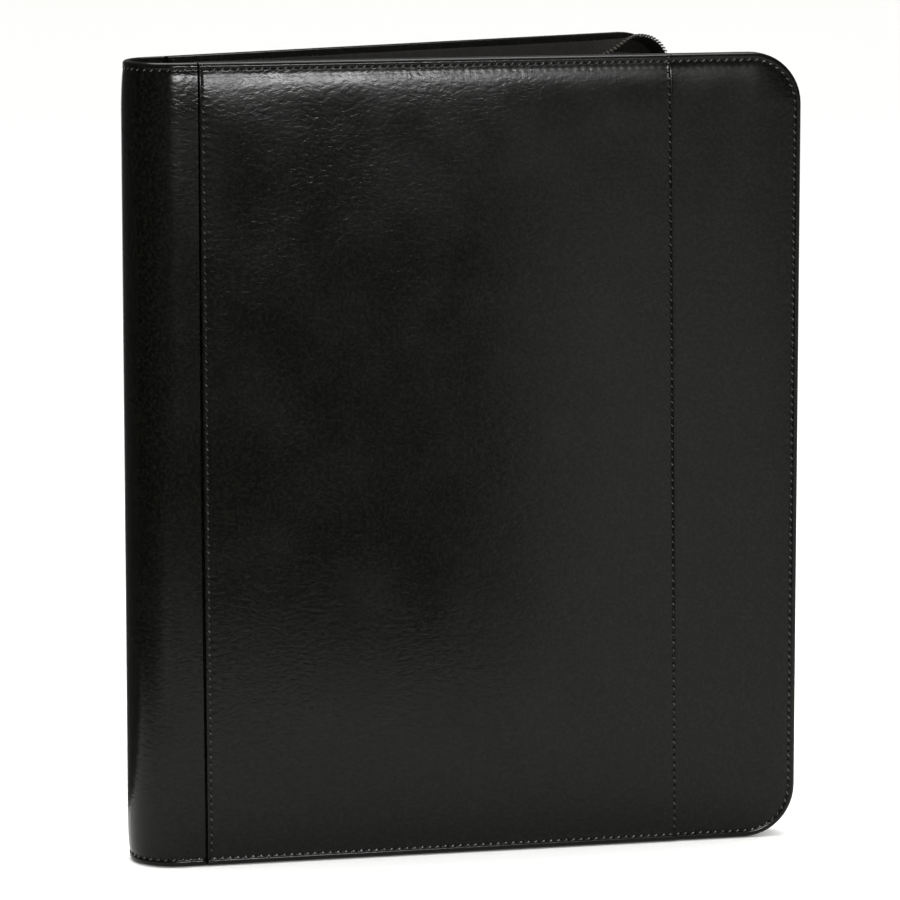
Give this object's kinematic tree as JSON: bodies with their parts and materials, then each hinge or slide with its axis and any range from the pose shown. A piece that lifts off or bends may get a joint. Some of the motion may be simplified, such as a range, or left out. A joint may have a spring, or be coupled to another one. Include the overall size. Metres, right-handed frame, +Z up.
{
  "type": "zippered padfolio",
  "caption": "Upright zippered padfolio, half open: padded leather covers on a rounded spine, coil zipper round three sides, organiser pockets, pen loop and writing pad inside.",
  "frame": {"origin": "on the ground, in the middle of the footprint of the standing, half-open case", "axes": "+Z up the height; +X from the spine to the fore edges; +Y from the front cover to the back cover"},
  "size_m": [0.2794, 0.1376, 0.336],
  "materials": {
    "cover_leather": "glazed bonded leather, black, fine crackle grain, semi-gloss",
    "pocket_leather": "smooth black leather cloth, satin",
    "padding": "grey foam padding",
    "board": "grey-brown stiff board",
    "lining_cloth": "black woven lining",
    "zip_tape": "black woven zipper tape",
    "zip_coil": "black nylon coil",
    "zip_metal": "nickel-plated zinc",
    "elastic": "black woven elastic",
    "pad_card": "grey chipboard",
    "pad_paper": "white ruled paper block",
    "pad_binding": "dark binding paper"
  },
  "bodies": {
    "spine": {"spine_leather": "cover_leather", "spine_stiffener": "board", "spine_lining": "lining_cloth", "upper_zip_tail": "zip_tape", "lower_zip_tail": "zip_tape", "bottom_stop": "zip_metal"},
    "front_cover": {"front_hinge_panel": "cover_leather", "front_centre_panel": "cover_leather", "front_edge_panel": "cover_leather", "front_foam": "padding", "front_board": "board", "front_lining": "lining_cloth", "document_pocket": "pocket_leather", "document_pocket_edging": "lining_cloth", "inner_card_pocket": "pocket_leather", "middle_card_pocket": "pocket_leather", "outer_card_pocket": "pocket_leather", "front_zip_tape": "zip_tape", "front_zip_coil": "zip_coil", "front_top_stop": "zip_metal"},
    "back_cover": {"back_hinge_panel": "cover_leather", "back_panel": "cover_leather", "back_foam": "padding", "back_board": "board", "back_lining": "lining_cloth", "pad_sleeve": "pocket_leather", "pad_sleeve_edging": "lining_cloth", "pen_loop": "elastic", "back_zip_tape": "zip_tape", "back_zip_coil": "zip_coil", "back_top_stop": "zip_metal"},
    "writing_pad": {"pad_backing": "pad_card", "pad_sheets": "pad_paper", "pad_binding": "pad_binding"},
    "zip_slider": {"zip_slider": "zip_metal"},
    "zip_pull": {"zip_pull": "zip_metal"}
  },
  "joints": [
    {"name": "front_cover_hinge", "type": "hinge", "parent": "spine", "child": "front_cover", "pos_m": [-0.12069, -0.0184, 0.168], "axis": [0, 0, -1], "range_deg": [-11, 79]},
    {"name": "back_cover_hinge", "type": "hinge", "parent": "spine", "child": "back_cover", "pos_m": [-0.12069, 0.0184, 0.168], "axis": [0, 0, 1], "range_deg": [-11, 79]},
    {"name": "zip_run", "type": "slide", "parent": "spine", "child": "zip_slider", "axis": [1, 0, 0], "range_m": [0, 0.22]},
    {"name": "pull_swing", "type": "hinge", "parent": "zip_slider", "child": "zip_pull", "pos_m": [-0.11019, 0, 0.0027], "axis": [0, 1, 0], "range_deg": [0, 150]},
    {"name": "pad_slide", "type": "slide", "parent": "back_cover", "child": "writing_pad", "axis": [0, 0, 1], "range_m": [0, 0.018]}
  ]
}
